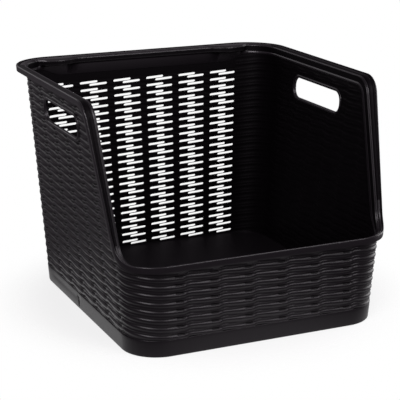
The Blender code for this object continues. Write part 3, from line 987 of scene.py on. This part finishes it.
@dataclass
class SteppedRim:
    """The turned-down rim: a beaded lip, a flat flange, a small arris, a second ledge and a collar.

    The section's rows are millimetres out and up from the shell's top edge, and a crest value, which paints
    highlight on the beads and arrises and shade in the recesses. The places named shade, where a darker copy
    of the plastic paints shade on the flange and the inner face, and the tables of pull and collar, count its
    points from the first.
    """

    shell: ShellForm
    reach_top: float = 0.0105
    reach_sill: float = 0.0052
    lip_root: float = 0.001
    shelf_reach: float = 0.0125
    shelf_inner: float = 0.0985
    shelf_outer: float = 0.1370
    shelf_ease_inner: float = 0.013
    shelf_ease_outer: float = 0.005
    back_widening: float = 0.0035
    back_collar: float = 0.0085
    back_fade: tuple[float, float] = (0.112, 0.140)
    # Faces that take the darker copy: painted shade on the flange and the inner face.
    shade_above_sill: float = 0.004
    shade_side_from: float = 0.175
    shade_first: int = 8
    shade_last_back: int = 12
    shade_last_side: int = 20
    shade_inner: tuple[int, int] = (25, 27)
    sharp: float = math.radians(55.0)
    section: tuple[tuple[float, float, float], ...] = (
        (8.6, -7.0, 0.3), (10.2, -7.0, 0.6), (10.5, -6.6, 1.0), (10.5, -4.0, 0.9), (10.5, -1.3, 0.9),
        (10.25, -0.5, 1.0), (9.75, -0.1, 1.0), (9.2, 0.0, 1.0), (8.75, -0.2, 0.9), (8.45, -0.8, 0.4),
        (8.1, -1.35, 0.2), (7.6, -1.5, 0.2), (6.2, -1.5, 0.2), (5.7, -1.3, 0.3), (5.3, -0.75, 0.7),
        (4.8, -0.5, 0.9), (4.2, -0.45, 0.8), (2.0, -0.6, 0.7), (1.4, -0.9, 0.6), (1.1, -1.7, 0.2),
        (0.75, -2.1, 0.1), (0.4, -2.05, 0.2), (0.1, -1.75, 0.9), (-0.4, -1.7, 1.0), (-0.85, -2.0, 1.0),
        (-1.0, -2.6, 0.9), (-1.0, -5.0, 0.5), (-1.0, -6.8, 0.3), (-1.2, -7.3, 0.4), (-1.7, -7.8, 0.8),
        (-2.7, -9.0, 1.0), (-3.15, -9.7, 1.0), (-3.2, -12.0, 0.6), (-3.0, -12.5, 0.7), (-1.4, -12.5, 0.3),
        (-1.2, -12.2, 0.2), (-1.2, -2.6, 0.2), (8.4, -2.6, 0.2), (8.6, -2.9, 0.2), (8.6, -7.0, 0.3))

    def stations(self) -> np.ndarray:
        """Lays out the rim's whole closed path.

        Returns:
            Rows of side, run, height and outward direction, one for each station.
        """
        half = self.shell.rim_line()
        left = np.hstack([np.full((len(half), 1), -1.0), half])
        right = np.hstack([np.full((len(half), 1), 1.0), half])[::-1]
        return np.vstack([left, right[1:-1], left[:1]])

    def build(self, *materials: bpy.types.Material) -> bpy.types.Object:
        """Builds the rim as one ring.

        Args:
            materials: The rim's plastic, and the darker, duller copy that paints shade on its flange and its
                inner face.

        Returns:
            The piece.
        """
        path = self.stations()
        side, run, z, way_run, way_z = (path[:, k][:, None] for k in range(5))
        shell = self.shell
        share = np.clip((z - shell.sill_height) / (shell.height - shell.sill_height), 0.0, 1.0)
        reach = self.reach_sill + (self.reach_top - self.reach_sill) * share
        section = np.array(self.section)
        out, up = section[:, 0][None, :] * MM, section[:, 1][None, :] * MM
        root = self.lip_root
        squeeze = (reach - root) / (self.reach_top - root)
        out = np.where(out > root, root + (out - root) * squeeze, out)
        across = shell.half_run(z) - np.abs(run)
        behind = run > 0
        starts, ends = (smoothstep(place - ease, place + ease, across) for place, ease in (
            (self.shelf_inner, self.shelf_ease_inner), (self.shelf_outer, self.shelf_ease_outer)))
        shelf = np.where(behind, starts - ends, 0.0)
        back = np.where(behind, 1 - smoothstep(*self.back_fade, across), 0.0)
        grow = shelf * (self.shelf_reach - self.back_widening) + back * self.back_widening
        index = np.arange(len(section))
        pull = np.interp(index, [15, 17, 28, 29, 30, 31], [0.0, 1.0, 1.0, 0.6, 0.15, 0.0])
        collar = np.interp(index, [31, 32, 35, 36], [0.0, 1.0, 1.0, 0.0])
        out = out - grow * pull[None, :]
        up = up - back * self.back_collar * collar[None, :]
        points = shell.point(side, run + way_run * up, z + way_z * up, out)
        # The flange and the inner face take the darker copy: painted shade.
        last = np.where(across > self.shade_side_from, self.shade_last_side, self.shade_last_back)
        flange = (z > shell.sill_height + self.shade_above_sill) & (self.shade_first <= index) & (index <= last)
        shade_faces = flange | ((self.shade_inner[0] <= index) & (index <= self.shade_inner[1]))
        mesh = swept_ring(points, np.broadcast_to(section[:, 2][None, :], points.shape[:2]), shade_faces)
        nodes = ["rim_back", "rim_sill", "rear_left_shelf", "rear_right_shelf"]
        nodes += [f"rim_{end}_{part}" for end in ("left", "right")
                  for part in ("rear_corner", "top", "shoulder", "front_edge", "foot")]
        return finish_piece(mesh, Dress("rim_ring", Slot.RIM, tuple(nodes), self.sharp), *materials)


@dataclass
class HandBeads:
    """The round beads that line the two hand holes.

    The section's rows are millimetres away from the hole and out from the wall, and a crest value, which
    paints highlight on the bead's crown and shade towards the wall.
    """

    shell: ShellForm
    hole: HandHole
    sharp: float = math.radians(70.0)
    section: tuple[tuple[float, float, float], ...] = (
        (0.0, -1.5, 0.7), (0.0, -0.5, 0.9), (0.35, 0.25, 1.0), (1.0, 0.7, 1.0), (2.0, 0.8, 1.0),
        (3.0, 0.55, 0.9), (3.7, 0.0, 0.7), (4.0, -0.7, 0.4), (4.0, -2.2, 0.3), (3.7, -2.9, 0.5),
        (3.0, -3.4, 0.8), (2.0, -3.6, 1.0), (1.0, -3.5, 1.0), (0.35, -3.1, 0.9), (0.0, -2.4, 0.8),
        (0.0, -1.5, 0.7))

    def build(self, material: bpy.types.Material) -> None:
        """Builds the left and the right bead.

        Args:
            material: The rim's plastic.
        """
        line, section = self.hole.outline(), np.array(self.section)
        grow, out = section[:, 0] * MM, section[:, 1] * MM
        run = line[:, 0][:, None] + line[:, 2][:, None] * grow
        z = line[:, 1][:, None] + line[:, 3][:, None] * grow
        crest = np.broadcast_to(section[:, 2][None, :], run.shape)
        for name, side in (("left", -1.0), ("right", 1.0)):
            mesh = swept_ring(self.shell.point(side, run, z, np.broadcast_to(out, run.shape)), crest)
            dress = Dress(f"{name}_hand_bead", Slot.RIM, (f"{name}_hand_hold",), self.sharp)
            finish_piece(mesh, dress, material)


@dataclass
class FootBand:
    """The plain band round the foot, with a rounded lower edge, a narrow ledge under the weave, and a slit
    and a shallow step on the left.

    The section's rows are millimetres out from the shell and up, and a crest value, which paints highlight on
    the rounded edges and shade on the inner face.
    """

    shell: ShellForm
    slit_run: float = 0.0150
    slit_depth: float = 0.0020
    slit_half: tuple[float, float] = (0.0017, 0.0023)
    slit_foot: tuple[float, float] = (0.0030, 0.0036)
    slit_head: tuple[float, float] = (0.0144, 0.0150)
    slit_clear: float = 0.004
    step_depth: float = 0.0004
    step_start: float = 0.001
    step_foot: tuple[float, float] = (0.0098, 0.0106)
    step_end: tuple[float, float] = (0.100, 0.115)
    cut_from: float = -0.001
    section: tuple[tuple[float, float, float], ...] = (
        (-3.0, 0.0, 0.3), (-1.0, 0.0, 0.7), (-0.45, 0.15, 1.0), (-0.12, 0.5, 1.0), (0.0, 1.1, 0.9),
        (0.0, 3.0, 0.7), (0.0, 3.6, 0.7), (0.0, 9.8, 0.7), (0.0, 10.6, 0.7), (0.0, 14.4, 0.7),
        (0.0, 15.0, 0.7), (0.0, 18.4, 0.9), (-0.1, 18.85, 1.0), (-0.4, 19.15, 1.0), (-0.8, 19.2, 0.8),
        (-3.0, 19.2, 0.2), (-3.0, 0.0, 0.3))

    def build(self, material: bpy.types.Material) -> bpy.types.Object:
        """Builds the band as one ring.

        Args:
            material: The band's plastic.

        Returns:
            The piece.
        """
        reach = float(self.shell.half_run(0.0))
        half = self.shell.straight(reach, -reach, 0.0)[:, 0]
        narrow, wide = self.slit_half
        near_slit = self.slit_run + np.array([-wide, -narrow, narrow, wide])
        clear = half[np.abs(half - self.slit_run) > self.slit_clear]
        half = np.sort(np.concatenate([clear, near_slit]))[::-1]
        run = np.concatenate([half, half[::-1][1:-1], half[:1]])[:, None]
        side = np.concatenate([-np.ones(len(half)), np.ones(len(half) - 2), -np.ones(1)])[:, None]
        section = np.array(self.section)
        out, z = section[:, 0][None, :] * MM, section[:, 1][None, :] * MM
        stretch = self.shell.half_run(z) / reach
        tall = smoothstep(*self.slit_foot, z) * (1 - smoothstep(*self.slit_head, z))
        slit = (1 - smoothstep(narrow, wide, np.abs(run - self.slit_run))) * tall * self.slit_depth
        long = smoothstep(self.slit_run, self.slit_run + self.step_start, run)
        step = long * smoothstep(*self.step_foot, z) * (1 - smoothstep(*self.step_end, run)) * self.step_depth
        out = out - np.where(side < 0, np.maximum(slit, step), 0.0) * (out > self.cut_from)
        points = self.shell.point(side, run * stretch, z, out)
        mesh = swept_ring(points, np.broadcast_to(section[:, 2][None, :], points.shape[:2]))
        nodes = ["skirt_front", "skirt_rear", "skirt_left", "skirt_right"]
        nodes += [f"skirt_{end}_{hand}_corner" for end in ("front", "rear") for hand in ("left", "right")]
        return finish_piece(mesh, Dress("foot_band", Slot.SKIRT, tuple(nodes)), material)


@dataclass
class FloorPlate:
    """The smooth raised floor, turned up a little where it meets the walls."""

    shell: ShellForm
    top: float = 0.0170
    thickness: float = 0.0025
    fillet: float = 0.0022
    turn_up: float = 0.0009
    corner_inset: float = 0.003
    corner_steps: int = 14
    crest: float = 0.7

    def build(self, material: bpy.types.Material) -> bpy.types.Object:
        """Builds the floor.

        Args:
            material: The floor's plastic.

        Returns:
            The piece.
        """
        low, high = (Vector(corner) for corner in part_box("floor_panel"))
        middle, size = (low + high) / 2, high - low
        mesh = bmesh.new()
        bmesh.ops.create_grid(mesh, x_segments=1, y_segments=1, size=0.5)
        bmesh.ops.scale(mesh, vec=(size.x, size.y, 1.0), verts=mesh.verts[:])
        bmesh.ops.translate(mesh, vec=(middle.x, middle.y, self.top), verts=mesh.verts[:])
        radius = self.shell.corner_radius - self.corner_inset
        bmesh.ops.bevel(mesh, geom=mesh.verts[:], offset=radius, offset_type="OFFSET",
                        segments=self.corner_steps, profile=0.5, affect="VERTICES", material=-1)
        bmesh.ops.inset_region(mesh, faces=mesh.faces[:], thickness=self.fillet, depth=0.0)
        border = [vert for vert in mesh.verts if any(len(edge.link_faces) == 1 for edge in vert.link_edges)]
        bmesh.ops.translate(mesh, vec=(0.0, 0.0, self.turn_up), verts=border)
        bmesh.ops.solidify(mesh, geom=mesh.faces[:], thickness=self.thickness)
        bmesh.ops.recalc_face_normals(mesh, faces=mesh.faces[:])
        layer = mesh.verts.layers.float.new("crest")
        for vert in mesh.verts:
            vert[layer] = self.crest
        return finish_piece(mesh, Dress("smooth_floor_plate", Slot.FLOOR, ("floor_panel",)), material)


# Studio


@dataclass(frozen=True)
class Softbox:
    """One square soft light."""

    name: str
    place: tuple[float, float, float]
    size: float
    power: float


@dataclass
class Studio:
    """A pale floor, a white surround, soft lights and the camera."""

    target: Vector = field(default_factory=lambda: Vector((0.0, 0.0, 0.12)))
    eye: tuple[float, float, float] = (-0.621157, -1.374749, 0.547425)
    azimuth: float = math.radians(24.32)
    elevation: float = math.radians(16.04)
    lens: float = 122.09
    floor_radius: float = 0.28
    floor_drop: float = 0.0002
    floor_grey: float = 0.88
    floor_white_reach: tuple[float, float] = (0.16, 0.34)
    floor_white: tuple[float, float] = (0.72, 1.0)
    floor_edge: tuple[float, float] = (0.60, 0.99)
    surround: float = 0.35
    mirrored_low: float = 0.135
    mirrored_high: float = 0.22
    horizon: tuple[float, float] = (-0.35, 0.35)
    mirrored_hue: tuple[float, float, float] = (1.0, 0.90, 1.0)
    lights: tuple[Softbox, ...] = (
        Softbox("key_light", (-1.0, -1.05, 1.25), 0.9, 20.0),
        Softbox("top_light", (0.65, -1.15, 1.15), 0.8, 11.0),
        Softbox("back_light", (-0.75, 1.75, 0.75), 0.9, 1.8),
        Softbox("front_light", (0.75, -1.75, 0.55), 1.0, 0.5),
        Softbox("side_light", (1.7, 0.35, 0.3), 1.3, 12.0),
    )

    def build(self) -> None:
        """Builds the whole studio."""
        self.build_floor()
        self.build_world()
        for light in self.lights:
            self.build_light(light)
        self.build_camera()
        bpy.context.scene.view_settings.view_transform = "Standard"

    def shown_mask(self, nodes: bpy.types.Nodes, links: bpy.types.NodeLinks,
                   mirrored: bpy.types.NodeSocket | None = None) -> bpy.types.NodeSocket:
        """Adds nodes that tell how white the background is to each kind of ray.

        Args:
            nodes: The material's or world's nodes.
            links: Its links.
            mirrored: Share of white that glossy and transmission rays see, or None for all of it.

        Returns:
            A socket that is 1 for camera rays, and that share for glossy and transmission rays.
        """
        path = nodes.new("ShaderNodeLightPath")
        either, share, shown = (math_node(nodes, name) for name in ("MAXIMUM", "MULTIPLY", "MAXIMUM"))
        share.inputs[1].default_value = 1.0
        links.new(path.outputs["Is Glossy Ray"], either.inputs[0])
        links.new(path.outputs["Is Transmission Ray"], either.inputs[1])
        links.new(either.outputs["Value"], share.inputs[0])
        if mirrored is not None:
            links.new(mirrored, share.inputs[1])
        links.new(path.outputs["Is Camera Ray"], shown.inputs[0])
        links.new(share.outputs["Value"], shown.inputs[1])
        return shown.outputs["Value"]

    def ramp(self, nodes: bpy.types.Nodes, ends: tuple[float, float],
             values: tuple[float, float]) -> bpy.types.Node:
        """Adds a smooth ramp between two values.

        Args:
            nodes: The nodes to add to.
            ends: Where the ramp starts and ends.
            values: Its values there.

        Returns:
            The ramp node.
        """
        node = nodes.new("ShaderNodeMapRange")
        node.interpolation_type = "SMOOTHSTEP"
        for name, value in zip(("From Min", "From Max", "To Min", "To Max"), ends + values):
            node.inputs[name].default_value = value
        return node

    def build_floor(self) -> None:
        """Builds the pale floor, which keeps the basket's shadow and fades out at its edge."""
        mesh = bmesh.new()
        bmesh.ops.create_circle(mesh, cap_ends=True, segments=96, radius=self.floor_radius)
        data = bpy.data.meshes.new("studio_floor")
        mesh.to_mesh(data)
        mesh.free()
        floor = bpy.data.objects.new("studio_floor", data)
        floor.location.z = -self.floor_drop
        bpy.context.scene.collection.objects.link(floor)
        material = bpy.data.materials.new("pale_floor")
        material.use_nodes = True
        nodes, links = material.node_tree.nodes, material.node_tree.links
        shader = nodes["Principled BSDF"]
        shader.inputs["Base Color"].default_value = (*(self.floor_grey,) * 3, 1.0)
        shader.inputs["Roughness"].default_value = 0.9
        shader.inputs["Specular IOR Level"].default_value = 0.1
        glow, clear = nodes.new("ShaderNodeEmission"), nodes.new("ShaderNodeBsdfTransparent")
        place = nodes.new("ShaderNodeTexCoord")
        reach = nodes.new("ShaderNodeVectorMath")
        reach.operation = "LENGTH"
        links.new(place.outputs["Object"], reach.inputs[0])
        white = self.ramp(nodes, self.floor_white_reach, self.floor_white)
        fade_from, fade_to = (self.floor_radius * share for share in self.floor_edge)
        edge = self.ramp(nodes, (fade_from, fade_to), (0.0, 1.0))
        links.new(reach.outputs["Value"], white.inputs["Value"])
        links.new(reach.outputs["Value"], edge.inputs["Value"])
        share = math_node(nodes, "MULTIPLY")
        links.new(white.outputs["Result"], share.inputs[0])
        links.new(self.shown_mask(nodes, links), share.inputs[1])
        lit, faded = nodes.new("ShaderNodeMixShader"), nodes.new("ShaderNodeMixShader")
        links.new(share.outputs["Value"], lit.inputs["Fac"])
        links.new(shader.outputs["BSDF"], lit.inputs[1])
        links.new(glow.outputs["Emission"], lit.inputs[2])
        links.new(edge.outputs["Result"], faded.inputs["Fac"])
        links.new(lit.outputs["Shader"], faded.inputs[1])
        links.new(clear.outputs["BSDF"], faded.inputs[2])
        links.new(faded.outputs["Shader"], nodes["Material Output"].inputs["Surface"])
        data.materials.append(material)

    def build_world(self) -> None:
        """Builds the surround: white to the camera, and mirrored dimmer, most of all from below."""
        world = bpy.data.worlds.new("white_surround")
        bpy.context.scene.world = world
        world.use_nodes = True
        nodes, links = world.node_tree.nodes, world.node_tree.links
        background = nodes["Background"]
        path = nodes.new("ShaderNodeLightPath")
        hue = nodes.new("ShaderNodeMix")
        hue.data_type = "RGBA"
        hue.inputs[6].default_value = (*self.mirrored_hue, 1.0)
        hue.inputs[7].default_value = (1.0, 1.0, 1.0, 1.0)
        links.new(path.outputs["Is Camera Ray"], hue.inputs[0])
        links.new(hue.outputs[2], background.inputs["Color"])
        place = nodes.new("ShaderNodeTexCoord")
        parts = nodes.new("ShaderNodeSeparateXYZ")
        links.new(place.outputs["Generated"], parts.inputs["Vector"])
        mirrored = self.ramp(nodes, self.horizon, (self.mirrored_low, self.mirrored_high))
        links.new(parts.outputs["Z"], mirrored.inputs["Value"])
        shown = self.shown_mask(nodes, links, mirrored.outputs["Result"])
        level = math_node(nodes, "MULTIPLY_ADD")
        level.inputs[1].default_value = self.surround
        links.new(path.outputs["Is Diffuse Ray"], level.inputs[0])
        links.new(shown, level.inputs[2])
        links.new(level.outputs["Value"], background.inputs["Strength"])

    def build_light(self, light: Softbox) -> None:
        """Builds one soft light aimed at the basket.

        Args:
            light: Its name, place, size and power.
        """
        data = bpy.data.lights.new(light.name, "AREA")
        data.energy, data.size = light.power, light.size
        lamp = bpy.data.objects.new(light.name, data)
        lamp.location = light.place
        lamp.rotation_euler = (self.target - Vector(light.place)).to_track_quat("-Z", "Y").to_euler()
        bpy.context.scene.collection.objects.link(lamp)

    def build_camera(self) -> None:
        """Builds the camera at the photograph's viewing angle."""
        data = bpy.data.cameras.new("view_camera")
        data.sensor_fit, data.sensor_width, data.lens = "HORIZONTAL", 36.0, self.lens
        camera = bpy.data.objects.new("view_camera", data)
        camera.location = self.eye
        flat = math.cos(self.elevation)
        right, ahead, down = math.sin(self.azimuth), math.cos(self.azimuth), math.sin(self.elevation)
        forward = Vector((right * flat, ahead * flat, -down))
        camera.rotation_euler = forward.to_track_quat("-Z", "Y").to_euler()
        bpy.context.scene.collection.objects.link(camera)
        bpy.context.scene.camera = camera


def plain(box: tuple[Vector, Vector]) -> list[list[float]]:
    """A box as plain lists of numbers."""
    return [[float(value) for value in corner] for corner in box]


def main() -> None:
    """Builds the basket's pieces and the studio."""
    logging.basicConfig(level=logging.INFO, format="%(name)s %(message)s")
    shop = PlasticShop()
    woven = shop.make(PlasticFinish("woven_black"))
    # Inner faces take a darker, less glossy copy of the plastic: painted shade inside the basket.
    inside = shop.make(PlasticFinish(
        "inside_painted_shade", crest=(0.0020, 0.0013, 0.0020), groove=(0.0014, 0.0009, 0.0014),
        specular=0.07, rough_low=0.40, rough_high=0.48))
    # Groove bottoms take a darker, less glossy copy of the plastic: painted shade.
    deep = shop.make(PlasticFinish(
        "groove_painted_shade", crest=(0.0024, 0.0016, 0.0024), groove=(0.0016, 0.0010, 0.0016),
        specular=0.11, rough_low=0.38, rough_high=0.46))
    rim = shop.make(PlasticFinish("rim_black", specular=0.50, rough_low=0.28, rough_high=0.42, shade_and_rub=0.3))
    band = shop.make(PlasticFinish("foot_black", specular=0.23, rough_low=0.30, rough_high=0.42, shade_and_rub=0.3))
    smooth = shop.make(PlasticFinish("floor_black", specular=0.24, rough_low=0.48, rough_high=0.56, shade_and_rub=0.3))

    shell, hole = ShellForm(), HandHole()
    WovenWalls(shell, hole).build_all(woven, inside, deep)
    SteppedRim(shell).build(rim, inside)
    HandBeads(shell, hole).build(rim)
    FootBand(shell).build(band)
    FloorPlate(shell).build(smooth)
    Studio().build()


if __name__ == "__main__":
    main()
